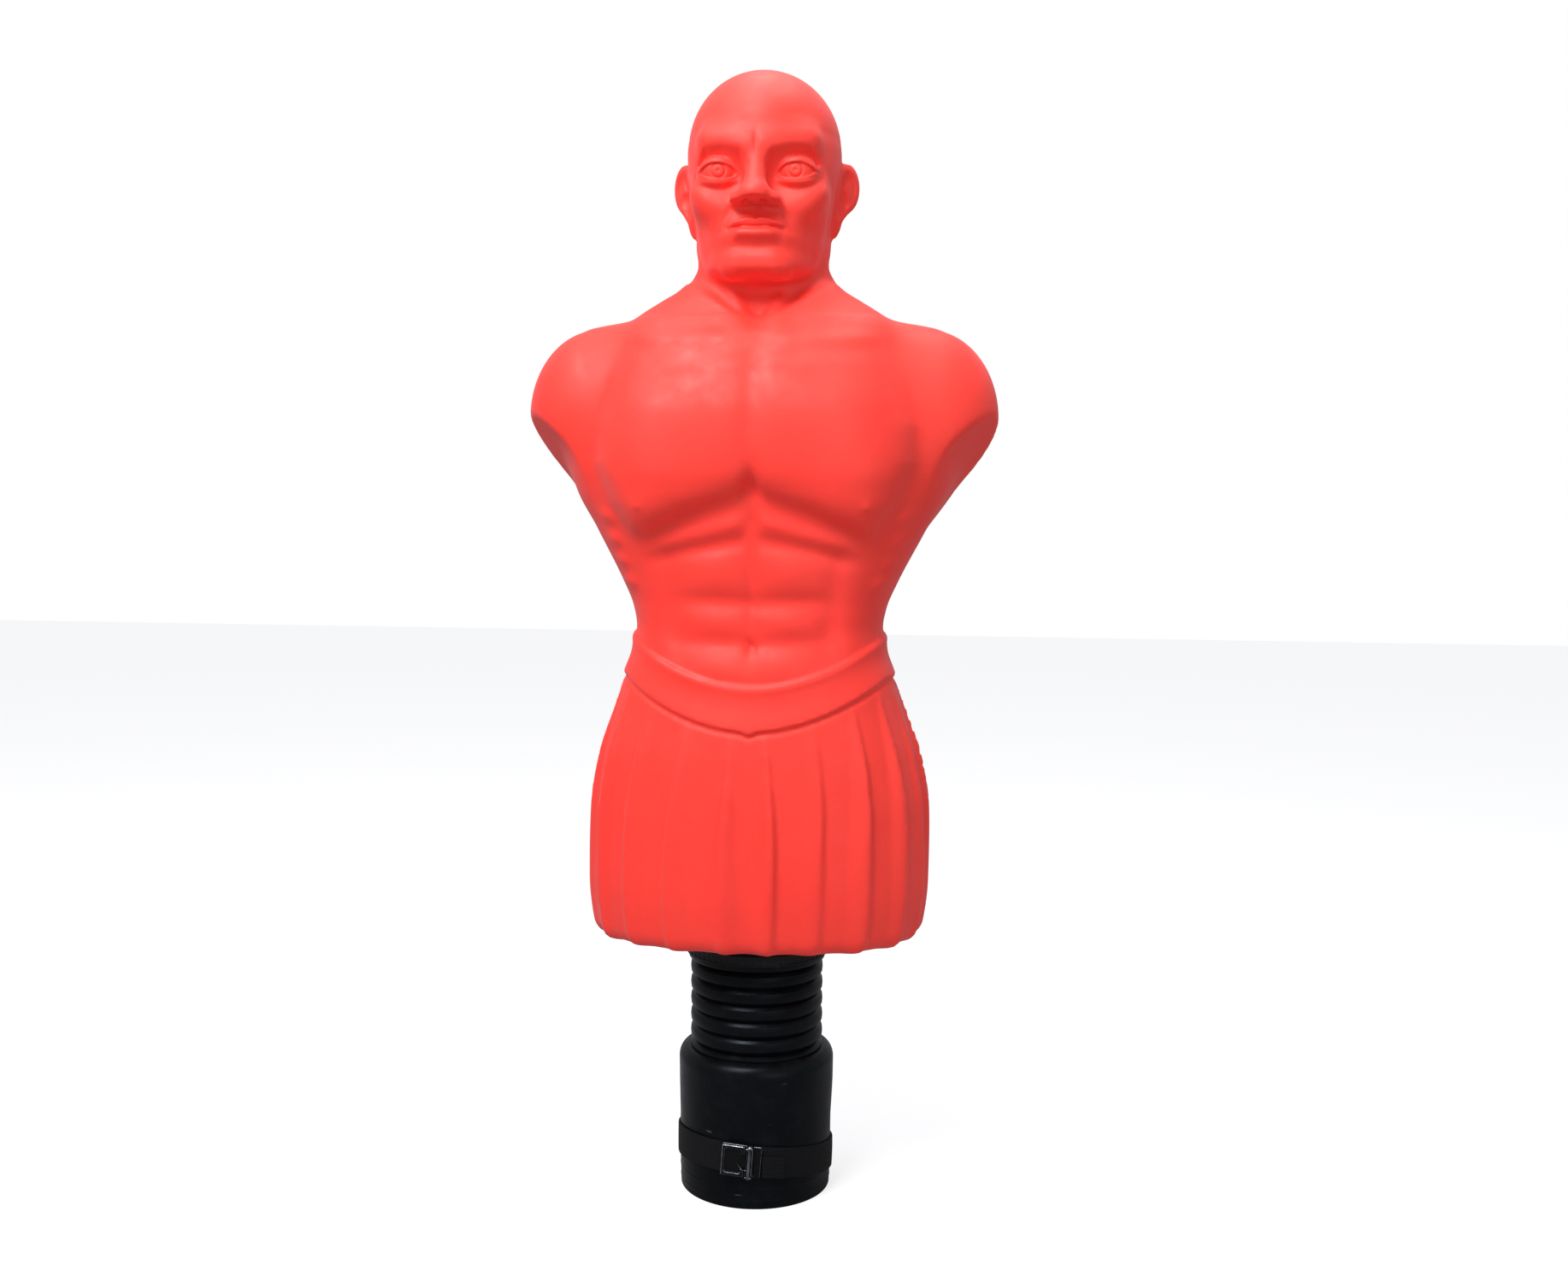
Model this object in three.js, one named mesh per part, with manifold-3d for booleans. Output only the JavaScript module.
// Free-standing martial arts torso dummy: the upper unit that drops onto the post of a base.
// A moulded skin over a foam core stands on a heavy coil spring inside a rubber bellows.
// Below the spring, an open sleeve slips over the post and is clamped there by a buckled strap.
// Millimetres, +Z up, the figure faces -Y, +X is on the viewer's right.
// The origin is the centre of the sleeve's bottom rim.

import * as THREE from "three";
import { mergeVertices } from "three/addons/utils/BufferGeometryUtils.js";
import Module from "manifold-3d";

// ---------------------------------------------------------------- driving dimensions

const FIT_GAP = 0.3; // left between pieces that touch
const SOFT_GAP = 0.5; // left between the foam and what it surrounds

// Sleeve and its strap
const SLEEVE_HEIGHT = 160;
const SLEEVE_RIM_RADIUS = 84;
const SLEEVE_TOP_RADIUS = SLEEVE_RIM_RADIUS + 3.5;
const SLEEVE_WALL = 6;
const SLEEVE_SHOULDER = 11;
const SLEEVE_MOUTH_RADIUS = 46;
const STRAP_HEIGHT = 43.5;
const STRAP_WIDTH = 34;
const STRAP_THICKNESS = 2.5;
const STRAP_SIDE_TILT = 4.5;
const STRAP_FRONT_TILT = 8.4;
const TAIL_WIDTH = 24;
const TAIL_THICKNESS = 1.6;
const TAIL_END_ANGLE = 27;
const TAIL_DROP = 5;

// Buckle
const BUCKLE_ANGLE = -4;
const BUCKLE_LENGTH = 43;
const BUCKLE_HEIGHT = 34;
const BUCKLE_PLATE = 1.5;
const BUCKLE_EAR = 2;
const PIN_RADIUS = 1.8;
const PIN_OUT = 5.4;
const PIN_FROM_END = 12;
const PIN_HEAD = 1;
const LEVER_BARREL = 3.4;
const LEVER_PLATE = 1.6;
const LEVER_RIM = 2.2;
const LEVER_RIM_WIDTH = 3.4;
const THUMB_NOTCH = 9.5;

// Spring, its two cups and the bolts
const PLATE_THICKNESS = 6;
const CUP_FLANGE = 4;
const CUP_WALL = 3;
const CUP_DEPTH = 14;
const SPRING_LENGTH = 116;
const SPRING_RADIUS = 38;
const WIRE_RADIUS = 6;
const SPRING_TURNS = 5.5;
const BOLT_COUNT = 4;
const BOLT_RADIUS = 4;
const BOLT_END = 2; // left showing beyond the nut
const HEX_RADIUS = 7.4;
const HEX_HEIGHT = 6;
const CUP_RADIUS = SPRING_RADIUS + WIRE_RADIUS + 2 * FIT_GAP + CUP_WALL;
const BOLT_CIRCLE = CUP_RADIUS + HEX_RADIUS + 1;
const CUP_FLANGE_RADIUS = BOLT_CIRCLE + 8.5;

// Bellows, its spigot and its clamp
const SPIGOT_WALL = 4;
const SPIGOT_RADIUS = CUP_FLANGE_RADIUS + 6 + SPIGOT_WALL;
const BELLOWS_CREST = SPIGOT_RADIUS + 0.5;
const BELLOWS_VALLEY = SPIGOT_RADIUS - 4.5;
const BELLOWS_WALL = 3;
const BELLOWS_RINGS = 5;
const BELLOWS_FOOT = 6;
const BELLOWS_ROUNDNESS = 0.6; // 1 is a sine wave, less is fuller
const SPIGOT_DEPTH = 24;
const CLAMP_THICKNESS = 1.5;
const CLAMP_WIDTH = 12;
const CLAMP_SCREW_RADIUS = 3.5;
const CLAMP_SCREW_LENGTH = 26;

// Inside the torso
const BOARD_THICKNESS = 18;
const FLANGE_RADIUS = BOLT_CIRCLE + 16;
const TUBE_RADIUS = 30;
const TUBE_WALL = 3;
const TUBE_LENGTH = 560;
const COLLAR_WALL = 5;
const COLLAR_HEIGHT = 28;
const CAP_HEIGHT = 8;

// Torso skin
const SKIN_WALL = 6;
const HEM_OPENING_WIDTH = 290;
const PLATE_RADIUS = SPIGOT_RADIUS + 4;
const HEM_OPENING_DEPTH = 2 * (PLATE_RADIUS + 14.5);
const TORSO_HEIGHT = 950;
const STATION_HEIGHT = 950; // the torso height that the stations are given for
const CHEST_DEPTH = 262;
const SHOULDER_WIDTH = 517;
const WAIST_HALF_WIDTH = 136.6;
const SKIRT_HALF_WIDTH = 188;
const HEM_HALF_WIDTH = 164;
const HEM_HALF_DEPTH = HEM_OPENING_DEPTH / 2 + 15;
const CHEST_HALF_WIDTH = 207;
const NECK_HALF_WIDTH = 72;
const HEAD_HALF_WIDTH = 83;
const HEAD_CENTRE_ABOVE_HEM = 864;
const CHEST_HALF_DEPTH = CHEST_DEPTH / 2;
const DELTOID_WIDTH = 78;
const DELTOID_DEPTH = 66;
const DELTOID_HEIGHT = 97;
const DELTOID_ABOVE_HEM = 576;
const STUMP_CUT_ANGLE = 49;
const STUMP_CUT_DROP = 5;
const BELT_PROUD = 3.5;
const BELT_WIDTH = 48;
const BELT_SIDE_ABOVE_HEM = 313;
const BELT_DIP = 53;
const BELT_DIP_START = 20; // behind this depth the belt is level
const EAR_HEIGHT = 84;
const EAR_OUT = 20;
const EAR_ABOVE_HEM = 813;
const EAR_BACK = 12;
const EAR_LEAN = 8;
const EAR_FLARE = 10;
const NOSE_WIDTH = 34;
const NOSE_HEIGHT = 56;
const NOSE_OUT = 22;
const NOSE_ABOVE_HEM = 800;
const NOSE_LEAN = 12;

// ---------------------------------------------------------------- places worked out from them

const LOWER_PLATE_TOP = SLEEVE_HEIGHT - SLEEVE_WALL - FIT_GAP;
const LOWER_FLANGE = SLEEVE_HEIGHT + FIT_GAP;
const SPRING_BOTTOM = LOWER_FLANGE + CUP_FLANGE + FIT_GAP;
const SPRING_TOP = SPRING_BOTTOM + SPRING_LENGTH;
const UPPER_FLANGE_TOP = SPRING_TOP + FIT_GAP + CUP_FLANGE;
const UPPER_PLATE_BOTTOM = UPPER_FLANGE_TOP + FIT_GAP;
const UPPER_PLATE_TOP = UPPER_PLATE_BOTTOM + PLATE_THICKNESS;
const BOARD_BOTTOM = UPPER_PLATE_TOP + FIT_GAP;
const HEM = BOARD_BOTTOM - SKIN_WALL - SOFT_GAP;
const BOARD_TOP = BOARD_BOTTOM + BOARD_THICKNESS;
const FLANGE_BOTTOM = BOARD_TOP + FIT_GAP;
const FLANGE_TOP = FLANGE_BOTTOM + PLATE_THICKNESS;
const TUBE_TOP = FLANGE_TOP + FIT_GAP + TUBE_LENGTH;
const TORSO_SCALE = TORSO_HEIGHT / STATION_HEIGHT;
const COLLAR_RADIUS = TUBE_RADIUS + FIT_GAP + COLLAR_WALL;
const UPPER_BOLT_TOP = FLANGE_TOP + FIT_GAP + HEX_HEIGHT + BOLT_END;
const LOWER_BOLT_TOP = LOWER_FLANGE + CUP_FLANGE + FIT_GAP + HEX_HEIGHT + BOLT_END;
const CUFF_RADIUS = SPIGOT_RADIUS + FIT_GAP + BELLOWS_WALL;
const CLAMP_RADIUS = CUFF_RADIUS + FIT_GAP + CLAMP_THICKNESS;
const CLAMP_MIDDLE = UPPER_PLATE_BOTTOM - SPIGOT_DEPTH / 2;
const BUCKLE_OUT = SLEEVE_RIM_RADIUS + 1 + FIT_GAP + STRAP_THICKNESS + FIT_GAP;

const ROUND = 32; // facets round a large turned piece
const SMALL_ROUND = 12;
const radians = THREE.MathUtils.degToRad;
const degrees = THREE.MathUtils.radToDeg;

// ---------------------------------------------------------------- solids and meshes

const wasm = await Module();
wasm.setup();

function toSolid(geometry) {
  const bare = geometry.clone();
  bare.deleteAttribute("normal");
  bare.deleteAttribute("uv");
  const merged = mergeVertices(bare, 1e-3);
  return new wasm.Manifold(
    new wasm.Mesh({
      numProp: 3,
      vertProperties: merged.attributes.position.array,
      triVerts: new Uint32Array(merged.index.array),
    }),
  );
}

function toGeometry(solid) {
  const { vertProperties, triVerts } = solid.getMesh();
  const geometry = new THREE.BufferGeometry();
  geometry.setAttribute("position", new THREE.BufferAttribute(new Float32Array(vertProperties), 3));
  geometry.setIndex(new THREE.BufferAttribute(new Uint32Array(triVerts), 1));
  geometry.computeVertexNormals();
  return geometry;
}

function placed(geometry, x, y, z) {
  return geometry.translate(x, y, z);
}

// A closed outline of [radius, height] points turned about the Z axis.
function turned(outline, facets = ROUND) {
  let area = 0;
  outline.forEach(([r, h], i) => {
    const [nextR, nextH] = outline[(i + 1) % outline.length];
    area += r * nextH - nextR * h;
  });
  const ordered = area > 0 ? outline : [...outline].reverse();
  const points = [...ordered, ordered[0]].map(([r, h]) => new THREE.Vector2(r, h));
  return new THREE.LatheGeometry(points, facets).rotateX(Math.PI / 2);
}

function ring(inner, outer, bottom, top, facets = ROUND) {
  return turned([[inner, bottom], [outer, bottom], [outer, top], [inner, top]], facets);
}

function rod(radius, bottom, top, facets = SMALL_ROUND) {
  const cylinder = new THREE.CylinderGeometry(radius, radius, top - bottom, facets);
  return placed(cylinder.rotateX(Math.PI / 2), 0, 0, (top + bottom) / 2);
}

function block(width, depth, height, x, y, z) {
  return placed(new THREE.BoxGeometry(width, depth, height), x, y, z);
}

const material = (color, roughness, metalness) =>
  new THREE.MeshStandardMaterial({ color, roughness, metalness });

function addPiece(group, name, shape, finish) {
  const geometry = shape.isBufferGeometry ? shape : toGeometry(shape);
  const mesh = new THREE.Mesh(geometry, finish);
  mesh.name = name;
  group.add(mesh);
  return mesh;
}

const skinFinish = () => material(0xf2463c, 0.55, 0);
const foamFinish = () => material(0xe8d9a8, 0.95, 0);
const rubberFinish = () => material(0x0d0e10, 0.6, 0);
const webbingFinish = () => material(0x101113, 0.8, 0);
const blackSteelFinish = () => material(0x17181b, 0.4, 0.8);
const steelFinish = () => material(0xa9adb2, 0.35, 1);
const woodFinish = () => material(0xb98a55, 0.7, 0);
const plasticFinish = () => material(0x202226, 0.6, 0);

// ---------------------------------------------------------------- torso outline

// One station: height above the hem at the standard torso height, half-width, depth to the
// front and to the back, and how square the section is (2 is an ellipse).
const STATIONS = [
  {
    name: "hem edge",
    at: 0,
    width: HEM_HALF_WIDTH,
    front: HEM_HALF_DEPTH,
    back: HEM_HALF_DEPTH,
    square: 2.3,
  },
  {
    name: "hem round",
    at: 10,
    width: HEM_HALF_WIDTH + 17,
    front: HEM_HALF_DEPTH + 12,
    back: HEM_HALF_DEPTH + 11,
    square: 2.3,
  },
  { name: "skirt", at: 70, width: SKIRT_HALF_WIDTH, front: 129, back: 127, square: 2.3 },
  { name: "upper skirt", at: 150, width: SKIRT_HALF_WIDTH - 2, front: 126, back: 126, square: 2.3 },
  { name: "hips", at: 205, width: 177, front: 118, back: 121, square: 2.3 },
  { name: "belt", at: 300, width: 147, front: 99, back: 101, square: 2.4 },
  { name: "waist", at: 348, width: WAIST_HALF_WIDTH, front: 94, back: 92, square: 2.5 },
  { name: "lower ribs", at: 397, width: 152, front: 98, back: 94, square: 2.5 },
  { name: "ribs", at: 453, width: 181, front: 108, back: 104, square: 2.5 },
  { name: "breast", at: 498, width: 202, front: 126, back: 116, square: 2.5 },
  { name: "armpit", at: 518, width: CHEST_HALF_WIDTH, front: 130, back: 120, square: 2.5 },
  { name: "chest", at: 574, width: 192, front: CHEST_HALF_DEPTH, back: CHEST_HALF_DEPTH, square: 2.5 },
  { name: "collar bones", at: 644, width: 176, front: 100, back: 122, square: 2.4 },
  { name: "shoulder line", at: 669, width: 158, front: 82, back: 106, square: 2.3 },
  { name: "neck root", at: 697, width: 112, front: 62, back: 90, square: 2.1 },
  { name: "throat", at: 716, width: 84, front: 58, back: 78, square: 2.1 },
  { name: "chin", at: 730, width: 75, front: 86, back: 75, square: 2.1 },
  { name: "mouth", at: 760, width: NECK_HALF_WIDTH, front: 92, back: 77, square: 2.1 },
  { name: "nose", at: 785, width: 75, front: 93, back: 86, square: 2.2 },
  { name: "eyes", at: 826, width: 81, front: 90, back: 99, square: 2.2 },
  { name: "head", at: HEAD_CENTRE_ABOVE_HEM, width: HEAD_HALF_WIDTH, front: 92, back: 103, square: 2.2 },
];

// A smooth track through the stations that never swings past them.
function track(key) {
  const places = STATIONS.map((station) => station.at * TORSO_SCALE);
  const values = STATIONS.map((station) => station[key]);
  const slopes = values.slice(1).map((v, i) => (v - values[i]) / (places[i + 1] - places[i]));
  const tangents = values.map((_, i) => {
    const before = slopes[i - 1] ?? 0;
    const after = slopes[i] ?? 0;
    return before * after > 0 ? (2 * before * after) / (before + after) : 0;
  });
  return (place) => {
    const last = places.length - 2;
    const found = places.findIndex((p) => p > place) - 1;
    const i = found < 0 ? (place < places[0] ? 0 : last) : found;
    const gap = places[i + 1] - places[i];
    const t = Math.min(Math.max((place - places[i]) / gap, 0), 1);
    const rise = tangents[i] * (t ** 3 - 2 * t ** 2 + t) + tangents[i + 1] * (t ** 3 - t ** 2);
    const step = t * t * (3 - 2 * t);
    return values[i] + (values[i + 1] - values[i]) * step + rise * gap;
  };
}

const OUTLINE = {
  width: track("width"),
  front: track("front"),
  back: track("back"),
  square: track("square"),
};

// How far a size is at a height above the hem, with the surface moved in by an inset.
function insetSize(key, place, inset) {
  const centre = HEAD_CENTRE_ABOVE_HEM * TORSO_SCALE;
  const size = OUTLINE[key];
  const slope = (size(place + 2) - size(place - 2)) / 4;
  const lean = Math.min(Math.sqrt(1 + slope * slope), 2.5);
  if (place <= centre) return size(place) - inset * lean;
  const height = TORSO_HEIGHT - centre - inset;
  const share = Math.min((place - centre) / height, 1);
  return (size(centre) - inset) * Math.sqrt(Math.max(1 - share * share, 0));
}

// The trunk, neck and head as one closed body, with its surface moved in by an inset.
function trunk(inset, rowStep, facets) {
  const centre = HEAD_CENTRE_ABOVE_HEM * TORSO_SCALE;
  const bottom = Math.max(inset, 0);
  const rows = [bottom];
  for (const station of STATIONS) {
    const place = station.at * TORSO_SCALE;
    while (place - rows.at(-1) > 1.5 * rowStep) rows.push(rows.at(-1) + rowStep);
    if (place > rows.at(-1) + 2) rows.push(place);
  }
  const domeHeight = TORSO_HEIGHT - centre - inset;
  const domeRows = 6;
  for (let i = 1; i < domeRows; i++) {
    rows.push(centre + domeHeight * Math.sin(((i / domeRows) * Math.PI) / 2));
  }
  const blank = [
    new THREE.Vector2(0, bottom),
    ...rows.map((row) => new THREE.Vector2(1, row)),
    new THREE.Vector2(0, centre + domeHeight),
  ];
  const geometry = new THREE.LatheGeometry(blank, facets).rotateX(Math.PI / 2);
  const position = geometry.attributes.position;
  for (let i = 0; i < position.count; i++) {
    const across = position.getX(i);
    const along = position.getY(i);
    const place = position.getZ(i);
    const share = Math.hypot(across, along);
    const power = 2 / OUTLINE.square(place);
    const bulge = (value) => Math.sign(value) * Math.abs(value) ** power;
    const depth = insetSize(along < 0 ? "front" : "back", place, inset);
    const onAxis = share < 0.5;
    const x = onAxis ? 0 : bulge(across / share) * insetSize("width", place, inset);
    const y = onAxis ? 0 : bulge(along / share) * depth;
    position.setXYZ(i, x, y, HEM + place);
  }
  return toSolid(geometry);
}

// One rounded shoulder, with the arm cut off by a slanting plane below it.
function deltoid(side, inset) {
  const centreX = side * (SHOULDER_WIDTH / 2 - DELTOID_WIDTH);
  const centreZ = HEM + DELTOID_ABOVE_HEM * TORSO_SCALE;
  const ball = new THREE.SphereGeometry(1, 16, 10);
  ball.scale(DELTOID_WIDTH - inset, DELTOID_DEPTH - inset, DELTOID_HEIGHT - inset);
  ball.translate(centreX, 0, centreZ);
  const size = 4 * DELTOID_HEIGHT;
  const cutter = block(size, size, size, side * (size / 2 - inset), 0, 0);
  cutter.rotateY(side * radians(90 - STUMP_CUT_ANGLE));
  cutter.translate((side * SHOULDER_WIDTH) / 2, 0, centreZ - STUMP_CUT_DROP);
  return toSolid(ball).subtract(toSolid(cutter));
}

function figure(inset, rowStep, facets) {
  return trunk(inset, rowStep, facets).add(deltoid(1, inset)).add(deltoid(-1, inset));
}

// The moulded belt: a band that is level round the back and dips in the middle of the front.
function belt(rowStep, facets) {
  const reach = SHOULDER_WIDTH;
  const side = HEM + BELT_SIDE_ABOVE_HEM * TORSO_SCALE;
  const front = side - BELT_DIP;
  const half = BELT_WIDTH / 2;
  const dipEnd = -OUTLINE.front(BELT_SIDE_ABOVE_HEM * TORSO_SCALE);
  const shape = new THREE.Shape();
  shape.moveTo(reach, side - half);
  shape.lineTo(reach, side + half);
  shape.lineTo(BELT_DIP_START, side + half);
  shape.lineTo(dipEnd, front + half);
  shape.lineTo(-reach, front + half);
  shape.lineTo(-reach, front - half);
  shape.lineTo(dipEnd, front - half);
  shape.lineTo(BELT_DIP_START, side - half);
  const slab = new THREE.ExtrudeGeometry(shape, { depth: 2 * reach, bevelEnabled: false });
  slab.rotateX(Math.PI / 2).rotateZ(Math.PI / 2).translate(-reach, 0, 0);
  return trunk(-BELT_PROUD, rowStep, facets).intersect(toSolid(slab));
}

function ear(side) {
  const shell = new THREE.SphereGeometry(1, 12, 8);
  shell.scale(EAR_OUT, EAR_HEIGHT / 4, EAR_HEIGHT / 2);
  shell.rotateX(radians(EAR_LEAN)).rotateY(side * radians(EAR_FLARE));
  const place = EAR_ABOVE_HEM * TORSO_SCALE;
  return toSolid(placed(shell, side * OUTLINE.width(place), EAR_BACK, HEM + place));
}

function nose() {
  const bridge = new THREE.SphereGeometry(1, 10, 8);
  bridge.scale(NOSE_WIDTH / 2, NOSE_OUT, NOSE_HEIGHT / 2);
  bridge.rotateX(radians(-NOSE_LEAN));
  const place = NOSE_ABOVE_HEM * TORSO_SCALE;
  return toSolid(placed(bridge, 0, -OUTLINE.front(place), HEM + place));
}

// ---------------------------------------------------------------- torso

const OUTER_ROWS = 50;
const OUTER_FACETS = 28;
const INNER_ROWS = 60;
const INNER_FACETS = 16;
const FOAM_INSET = SKIN_WALL + SOFT_GAP;

function torsoSkin() {
  const hollow = figure(SKIN_WALL, INNER_ROWS, INNER_FACETS);
  const opening = rod(1, HEM - 1, HEM + SKIN_WALL + 1, OUTER_FACETS);
  opening.scale(HEM_OPENING_WIDTH / 2, HEM_OPENING_DEPTH / 2, 1);
  return figure(0, OUTER_ROWS, OUTER_FACETS)
    .add(belt(OUTER_ROWS, OUTER_FACETS))
    .add(ear(1))
    .add(ear(-1))
    .add(nose())
    .subtract(hollow)
    .subtract(toSolid(opening));
}

function foamCore() {
  const below = HEM + TORSO_HEIGHT;
  const underside = toSolid(
    block(2 * below, 2 * below, below, 0, 0, BOARD_TOP + SOFT_GAP - below / 2),
  );
  const pocket = turned([
    [0, BOARD_BOTTOM],
    [FLANGE_RADIUS + SOFT_GAP, BOARD_BOTTOM],
    [FLANGE_RADIUS + SOFT_GAP, UPPER_BOLT_TOP + SOFT_GAP],
    [COLLAR_RADIUS + SOFT_GAP, UPPER_BOLT_TOP + SOFT_GAP],
    [COLLAR_RADIUS + SOFT_GAP, FLANGE_TOP + COLLAR_HEIGHT + SOFT_GAP],
    [TUBE_RADIUS + SOFT_GAP, FLANGE_TOP + COLLAR_HEIGHT + SOFT_GAP],
    [TUBE_RADIUS + SOFT_GAP, TUBE_TOP + CAP_HEIGHT + SOFT_GAP],
    [0, TUBE_TOP + CAP_HEIGHT + SOFT_GAP],
  ]);
  return figure(FOAM_INSET, INNER_ROWS, INNER_FACETS)
    .subtract(underside)
    .subtract(toSolid(pocket));
}

function baseBoard() {
  const width = SHOULDER_WIDTH;
  const middle = (BOARD_BOTTOM + BOARD_TOP) / 2;
  const slab = block(width, width, BOARD_THICKNESS, 0, 0, middle);
  const sheet = trunk(FOAM_INSET, INNER_ROWS, INNER_FACETS).intersect(toSolid(slab));
  return drilled(sheet, BOARD_BOTTOM, BOARD_TOP);
}

// ---------------------------------------------------------------- plates, cups and bolts

function boltPlaces() {
  return Array.from({ length: BOLT_COUNT }, (_, i) => {
    const angle = ((i + 0.5) / BOLT_COUNT) * 2 * Math.PI;
    return [BOLT_CIRCLE * Math.cos(angle), BOLT_CIRCLE * Math.sin(angle)];
  });
}

function drilled(solid, bottom, top) {
  return boltPlaces().reduce((left, [x, y]) => {
    const hole = rod(BOLT_RADIUS + FIT_GAP, bottom - 1, top + 1);
    return left.subtract(toSolid(placed(hole, x, y, 0)));
  }, solid);
}

function hexBolt(headTop, end) {
  const head = rod(HEX_RADIUS, headTop - HEX_HEIGHT, headTop, 6);
  return toSolid(head).add(toSolid(rod(BOLT_RADIUS, headTop - 1, end)));
}

function hexNut(bottom) {
  const nut = rod(HEX_RADIUS, bottom, bottom + HEX_HEIGHT, 6);
  const hole = rod(BOLT_RADIUS + FIT_GAP, bottom - 1, bottom + HEX_HEIGHT + 1);
  return toSolid(nut).subtract(toSolid(hole));
}

// A flanged cup that holds one end of the spring; mouth is 1 when it opens upwards.
function springCup(face, mouth) {
  const inner = CUP_RADIUS - CUP_WALL;
  const inside = face + mouth * CUP_FLANGE;
  const lip = inside + mouth * CUP_DEPTH;
  const cup = turned([
    [0, face],
    [CUP_FLANGE_RADIUS, face],
    [CUP_FLANGE_RADIUS, inside],
    [CUP_RADIUS, inside],
    [CUP_RADIUS, lip],
    [inner, lip],
    [inner, inside],
    [0, inside],
  ]);
  return drilled(toSolid(cup), Math.min(face, inside), Math.max(face, inside));
}

function upperPlate() {
  const spigotBottom = UPPER_PLATE_BOTTOM - SPIGOT_DEPTH;
  const plate = turned([
    [0, UPPER_PLATE_BOTTOM],
    [SPIGOT_RADIUS - SPIGOT_WALL, UPPER_PLATE_BOTTOM],
    [SPIGOT_RADIUS - SPIGOT_WALL, spigotBottom],
    [SPIGOT_RADIUS, spigotBottom],
    [SPIGOT_RADIUS, UPPER_PLATE_BOTTOM],
    [PLATE_RADIUS, UPPER_PLATE_BOTTOM],
    [PLATE_RADIUS, UPPER_PLATE_TOP],
    [0, UPPER_PLATE_TOP],
  ]);
  return drilled(toSolid(plate), UPPER_PLATE_BOTTOM, UPPER_PLATE_TOP);
}

function tubeFlange() {
  const collarTop = FLANGE_TOP + COLLAR_HEIGHT;
  const flange = turned([
    [0, FLANGE_BOTTOM],
    [FLANGE_RADIUS, FLANGE_BOTTOM],
    [FLANGE_RADIUS, FLANGE_TOP],
    [COLLAR_RADIUS, FLANGE_TOP],
    [COLLAR_RADIUS, collarTop],
    [TUBE_RADIUS + FIT_GAP, collarTop],
    [TUBE_RADIUS + FIT_GAP, FLANGE_TOP],
    [0, FLANGE_TOP],
  ]);
  return drilled(toSolid(flange), FLANGE_BOTTOM, FLANGE_TOP);
}

function tubeCap() {
  const plug = TUBE_RADIUS - TUBE_WALL - FIT_GAP;
  return turned([
    [0, TUBE_TOP - 2 * CAP_HEIGHT],
    [plug, TUBE_TOP - 2 * CAP_HEIGHT],
    [plug, TUBE_TOP + FIT_GAP],
    [TUBE_RADIUS, TUBE_TOP + FIT_GAP],
    [TUBE_RADIUS, TUBE_TOP + CAP_HEIGHT],
    [0, TUBE_TOP + CAP_HEIGHT],
  ]);
}

class Helix extends THREE.Curve {
  constructor(radius, bottom, top, turns) {
    super();
    Object.assign(this, { radius, bottom, top, turns });
  }

  getPoint(t, target = new THREE.Vector3()) {
    const angle = 2 * Math.PI * this.turns * t;
    const height = this.bottom + (this.top - this.bottom) * t;
    return target.set(this.radius * Math.cos(angle), this.radius * Math.sin(angle), height);
  }
}

function coilSpring() {
  const stepsPerTurn = 12;
  const wireSides = 6;
  const wire = new THREE.Shape(
    Array.from({ length: wireSides }, (_, i) => {
      const angle = (2 * Math.PI * i) / wireSides;
      return new THREE.Vector2(WIRE_RADIUS * Math.cos(angle), WIRE_RADIUS * Math.sin(angle));
    }),
  );
  const path = new Helix(
    SPRING_RADIUS,
    SPRING_BOTTOM + WIRE_RADIUS,
    SPRING_TOP - WIRE_RADIUS,
    SPRING_TURNS,
  );
  const steps = Math.round(SPRING_TURNS * stepsPerTurn);
  return new THREE.ExtrudeGeometry(wire, { steps, extrudePath: path });
}

// ---------------------------------------------------------------- bellows and clamp

function bellowsTube() {
  const footTop = LOWER_FLANGE + BELLOWS_FOOT;
  const ringsTop = UPPER_PLATE_BOTTOM - SPIGOT_DEPTH - BELLOWS_WALL;
  const pitch = (ringsTop - footTop) / BELLOWS_RINGS;
  const radiusAt = (share) =>
    BELLOWS_VALLEY + (BELLOWS_CREST - BELLOWS_VALLEY) * Math.sin(Math.PI * share) ** BELLOWS_ROUNDNESS;
  const outside = [[BELLOWS_CREST, LOWER_FLANGE], [BELLOWS_CREST, footTop - 2]];
  const inside = [[BELLOWS_VALLEY - BELLOWS_WALL, LOWER_FLANGE]];
  for (let i = 0; i < BELLOWS_RINGS; i++) {
    const start = footTop + i * pitch;
    for (const share of [0, 0.18, 0.5, 0.82]) {
      outside.push([radiusAt(share), start + share * pitch]);
    }
    inside.push([radiusAt(0.5) - BELLOWS_WALL, start + pitch / 2]);
  }
  const cuffInner = SPIGOT_RADIUS + FIT_GAP;
  const cuffTop = UPPER_PLATE_BOTTOM - FIT_GAP;
  outside.push([BELLOWS_VALLEY, ringsTop], [CUFF_RADIUS, ringsTop + BELLOWS_WALL]);
  outside.push([CUFF_RADIUS, cuffTop]);
  inside.push([BELLOWS_VALLEY - BELLOWS_WALL, ringsTop]);
  inside.push([cuffInner, ringsTop + BELLOWS_WALL - FIT_GAP], [cuffInner, cuffTop]);
  return turned([...outside, ...inside.reverse()]);
}

function clampScrew() {
  const across = CLAMP_RADIUS + FIT_GAP + CLAMP_SCREW_RADIUS;
  const half = CLAMP_SCREW_LENGTH / 2;
  const screw = rod(CLAMP_SCREW_RADIUS, -half, half).rotateY(Math.PI / 2);
  return placed(screw, 0, across, CLAMP_MIDDLE);
}

// ---------------------------------------------------------------- sleeve, strap and buckle

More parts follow.
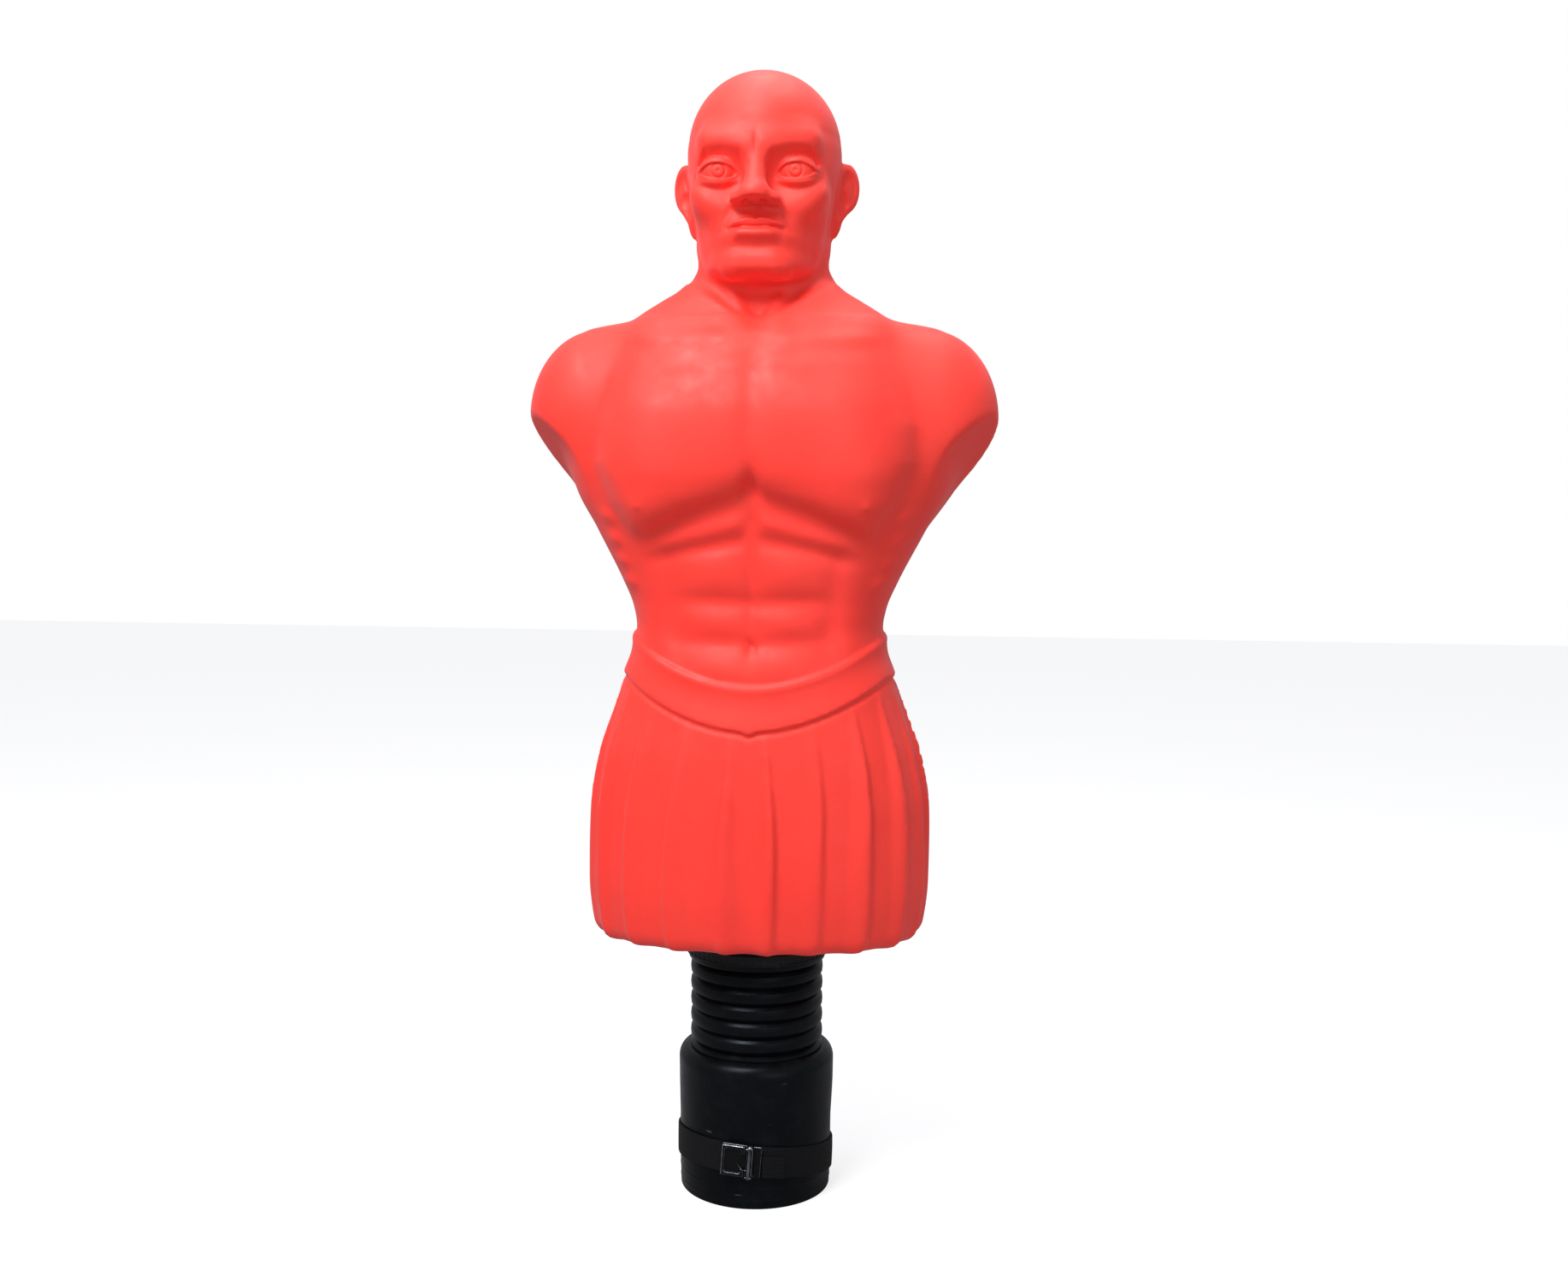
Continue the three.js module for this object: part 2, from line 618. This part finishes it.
// The sleeve's outer radius, from its rim up to the start of its shoulder.
const SLEEVE_SIDE = [
  [SLEEVE_RIM_RADIUS, 0],
  [SLEEVE_RIM_RADIUS + 1, SLEEVE_HEIGHT / 4],
  [SLEEVE_RIM_RADIUS + 1, SLEEVE_HEIGHT / 2],
  [SLEEVE_TOP_RADIUS - 0.5, (SLEEVE_HEIGHT * 3) / 4],
  [SLEEVE_TOP_RADIUS, SLEEVE_HEIGHT - SLEEVE_SHOULDER],
];

function sleeve() {
  const bore = SLEEVE_RIM_RADIUS - SLEEVE_WALL;
  const shoulder = [20, 40, 65, 90].map((degrees) => [
    SLEEVE_TOP_RADIUS - SLEEVE_SHOULDER * (1 - Math.cos(radians(degrees))),
    SLEEVE_HEIGHT - SLEEVE_SHOULDER * (1 - Math.sin(radians(degrees))),
  ]);
  const shell = turned([
    ...SLEEVE_SIDE,
    ...shoulder,
    [SLEEVE_MOUTH_RADIUS, SLEEVE_HEIGHT],
    [SLEEVE_MOUTH_RADIUS, SLEEVE_HEIGHT - SLEEVE_WALL],
    [bore, SLEEVE_HEIGHT - SLEEVE_WALL],
    [bore, 0],
  ]);
  return drilled(toSolid(shell), SLEEVE_HEIGHT - SLEEVE_WALL, SLEEVE_HEIGHT);
}

// A layer of webbing wound on the sleeve: a shell cut by a slab tilted like the strap.
function webbing(lift, thickness, width, drop) {
  const inner = SLEEVE_SIDE.map(([radius, height]) => [radius + lift, height]);
  const outer = SLEEVE_SIDE.map(([radius, height]) => [radius + lift + thickness, height]);
  const shell = toSolid(turned([...outer, ...inner.reverse()]));
  const size = 3 * SLEEVE_TOP_RADIUS;
  const slab = new THREE.BoxGeometry(size, size, width);
  slab.rotateY(radians(STRAP_SIDE_TILT)).rotateX(radians(-STRAP_FRONT_TILT));
  return shell.intersect(toSolid(placed(slab, 0, 0, STRAP_HEIGHT - drop)));
}

function strapTail() {
  const start = BUCKLE_ANGLE + degrees(Math.atan((BUCKLE_LENGTH / 2 + 1) / BUCKLE_OUT));
  const reach = 2 * SLEEVE_TOP_RADIUS;
  const corners = [start, (start + TAIL_END_ANGLE) / 2, TAIL_END_ANGLE].map((angle) => {
    const turn = radians(angle - 90);
    return new THREE.Vector2(reach * Math.cos(turn), reach * Math.sin(turn));
  });
  const sector = new THREE.Shape([new THREE.Vector2(0, 0), ...corners]);
  const wedge = new THREE.ExtrudeGeometry(sector, { depth: SLEEVE_HEIGHT, bevelEnabled: false });
  return webbing(BUCKLE_OUT - SLEEVE_RIM_RADIUS - 1, TAIL_THICKNESS, TAIL_WIDTH, TAIL_DROP)
    .intersect(toSolid(wedge));
}

// Buckle pieces lie in the buckle's own frame: +X along the strap, +Z across it, -Y outwards.
const PIN_ACROSS = BUCKLE_LENGTH / 2 - PIN_FROM_END;
const EAR_FRONT = PIN_OUT + PIN_RADIUS + BUCKLE_EAR;

function buckleBase() {
  const plate = block(BUCKLE_LENGTH, BUCKLE_PLATE, BUCKLE_HEIGHT, 0, -BUCKLE_PLATE / 2, 0);
  const earWidth = 2 * (PIN_RADIUS + BUCKLE_EAR);
  const earPlace = (BUCKLE_HEIGHT - BUCKLE_EAR) / 2;
  const bore = rod(PIN_RADIUS + FIT_GAP, -BUCKLE_HEIGHT, BUCKLE_HEIGHT);
  return [-1, 1]
    .reduce((base, side) => {
      const ear = block(earWidth, EAR_FRONT, BUCKLE_EAR, PIN_ACROSS, -EAR_FRONT / 2, 0);
      return base.add(toSolid(placed(ear, 0, 0, side * earPlace)));
    }, toSolid(plate))
    .subtract(toSolid(placed(bore, PIN_ACROSS, -PIN_OUT, 0)));
}

function bucklePin() {
  const half = BUCKLE_HEIGHT / 2 + FIT_GAP;
  const head = PIN_RADIUS + PIN_HEAD;
  const pin = turned(
    [
      [0, -half - PIN_HEAD],
      [head, -half - PIN_HEAD],
      [head, -half],
      [PIN_RADIUS, -half],
      [PIN_RADIUS, half],
      [head, half],
      [head, half + PIN_HEAD],
      [0, half + PIN_HEAD],
    ],
    SMALL_ROUND,
  );
  return placed(pin, PIN_ACROSS, -PIN_OUT, 0);
}

function buckleLever() {
  const barrelHeight = BUCKLE_HEIGHT - 2 * (BUCKLE_EAR + 2 * FIT_GAP);
  const back = -(PIN_OUT - LEVER_BARREL);
  const left = -BUCKLE_LENGTH / 2;
  const neck = PIN_ACROSS - PIN_RADIUS - BUCKLE_EAR - 2;
  const neckLength = PIN_ACROSS - neck + 1;
  const sheet = (from, length, height, thickness) =>
    toSolid(block(length, thickness, height, from + length / 2, back - thickness / 2, 0));
  const rimThickness = LEVER_PLATE + LEVER_RIM;
  const padLength = neck - left;
  const rim = sheet(left, padLength, BUCKLE_HEIGHT, rimThickness).subtract(
    toSolid(
      block(
        padLength - 2 * LEVER_RIM_WIDTH,
        4 * rimThickness,
        BUCKLE_HEIGHT - 2 * LEVER_RIM_WIDTH,
        left + padLength / 2,
        back,
        0,
      ),
    ),
  );
  const barrel = rod(LEVER_BARREL, -barrelHeight / 2, barrelHeight / 2);
  const bore = rod(PIN_RADIUS + FIT_GAP, -BUCKLE_HEIGHT, BUCKLE_HEIGHT);
  const notch = rod(THUMB_NOTCH, -BUCKLE_LENGTH, BUCKLE_LENGTH, 24).rotateX(Math.PI / 2);
  const thumbSide = PIN_ACROSS - LEVER_BARREL;
  const scoop = toSolid(placed(notch, thumbSide, 0, 0)).subtract(
    toSolid(block(BUCKLE_LENGTH, 4 * BUCKLE_LENGTH, BUCKLE_HEIGHT, thumbSide + BUCKLE_LENGTH / 2, 0, 0)),
  );
  return sheet(left, padLength, BUCKLE_HEIGHT, LEVER_PLATE)
    .add(rim)
    .add(sheet(neck - 1, neckLength, barrelHeight, LEVER_PLATE))
    .subtract(scoop)
    .add(toSolid(placed(barrel, PIN_ACROSS, -PIN_OUT, 0)))
    .subtract(toSolid(placed(bore, PIN_ACROSS, -PIN_OUT, 0)));
}

// ---------------------------------------------------------------- the assembly

const dummy = new THREE.Group();
const torso = new THREE.Group();
const springUnit = new THREE.Group();
const baseUnit = new THREE.Group();
dummy.add(torso, springUnit, baseUnit);

addPiece(torso, "torso_skin", torsoSkin(), skinFinish());
addPiece(torso, "foam_core", foamCore(), foamFinish());
addPiece(torso, "base_board", baseBoard(), woodFinish());
const tube = ring(TUBE_RADIUS - TUBE_WALL, TUBE_RADIUS, FLANGE_TOP + FIT_GAP, TUBE_TOP);
addPiece(torso, "core_tube", tube, steelFinish());
addPiece(torso, "tube_cap", tubeCap(), plasticFinish());
addPiece(torso, "tube_flange", tubeFlange(), steelFinish());
addPiece(torso, "upper_plate", upperPlate(), blackSteelFinish());
addPiece(torso, "spring_cup_upper", springCup(UPPER_FLANGE_TOP, -1), blackSteelFinish());
const clamp = ring(
  CUFF_RADIUS + FIT_GAP,
  CLAMP_RADIUS,
  CLAMP_MIDDLE - CLAMP_WIDTH / 2,
  CLAMP_MIDDLE + CLAMP_WIDTH / 2,
);
addPiece(torso, "bellows_clamp", clamp, blackSteelFinish());
addPiece(torso, "clamp_screw", clampScrew(), steelFinish());

addPiece(springUnit, "bellows", bellowsTube(), rubberFinish());
addPiece(springUnit, "coil_spring", coilSpring(), steelFinish());

addPiece(baseUnit, "sleeve", sleeve(), rubberFinish());
addPiece(baseUnit, "spring_cup_lower", springCup(LOWER_FLANGE, 1), blackSteelFinish());
const lowerPlate = rod(
  SLEEVE_RIM_RADIUS - SLEEVE_WALL - FIT_GAP,
  LOWER_PLATE_TOP - PLATE_THICKNESS,
  LOWER_PLATE_TOP,
  ROUND,
);
const drilledLowerPlate = drilled(
  toSolid(lowerPlate),
  LOWER_PLATE_TOP - PLATE_THICKNESS,
  LOWER_PLATE_TOP,
);
addPiece(baseUnit, "lower_plate", drilledLowerPlate, blackSteelFinish());

boltPlaces().forEach(([x, y], i) => {
  const number = i + 1;
  const boardBolt = hexBolt(UPPER_FLANGE_TOP - CUP_FLANGE - FIT_GAP, UPPER_BOLT_TOP);
  const boardNut = hexNut(FLANGE_TOP + FIT_GAP);
  const socketBolt = hexBolt(LOWER_PLATE_TOP - PLATE_THICKNESS - FIT_GAP, LOWER_BOLT_TOP);
  const socketNut = hexNut(LOWER_FLANGE + CUP_FLANGE + FIT_GAP);
  addPiece(torso, `board_bolt_${number}`, boardBolt, steelFinish()).position.set(x, y, 0);
  addPiece(torso, `board_nut_${number}`, boardNut, steelFinish()).position.set(x, y, 0);
  addPiece(baseUnit, `socket_bolt_${number}`, socketBolt, steelFinish()).position.set(x, y, 0);
  addPiece(baseUnit, `socket_nut_${number}`, socketNut, steelFinish()).position.set(x, y, 0);
});

const strapBand = webbing(FIT_GAP, STRAP_THICKNESS, STRAP_WIDTH, 0);
addPiece(baseUnit, "strap_band", strapBand, webbingFinish());
addPiece(baseUnit, "strap_tail", strapTail(), webbingFinish());

// The buckle lies flat against the strap and rolls with its slope.
const aroundSleeve = new THREE.Group();
aroundSleeve.rotation.z = radians(BUCKLE_ANGLE);
const buckle = new THREE.Group();
const sideSlope = -Math.tan(radians(STRAP_SIDE_TILT));
const frontSlope = -Math.tan(radians(STRAP_FRONT_TILT));
const buckleX = Math.sin(radians(BUCKLE_ANGLE)) * BUCKLE_OUT;
const buckleY = -Math.cos(radians(BUCKLE_ANGLE)) * BUCKLE_OUT;
const strapSlope =
  sideSlope * Math.cos(radians(BUCKLE_ANGLE)) + frontSlope * Math.sin(radians(BUCKLE_ANGLE));
const buckleZ = STRAP_HEIGHT + sideSlope * buckleX + frontSlope * buckleY;
buckle.position.set(0, -BUCKLE_OUT, buckleZ);
buckle.rotation.y = -Math.atan(strapSlope);
aroundSleeve.add(buckle);
baseUnit.add(aroundSleeve);
addPiece(buckle, "buckle_base", buckleBase(), blackSteelFinish());
addPiece(buckle, "buckle_pin", bucklePin(), steelFinish());
addPiece(buckle, "buckle_lever", buckleLever(), blackSteelFinish());

export default dummy;
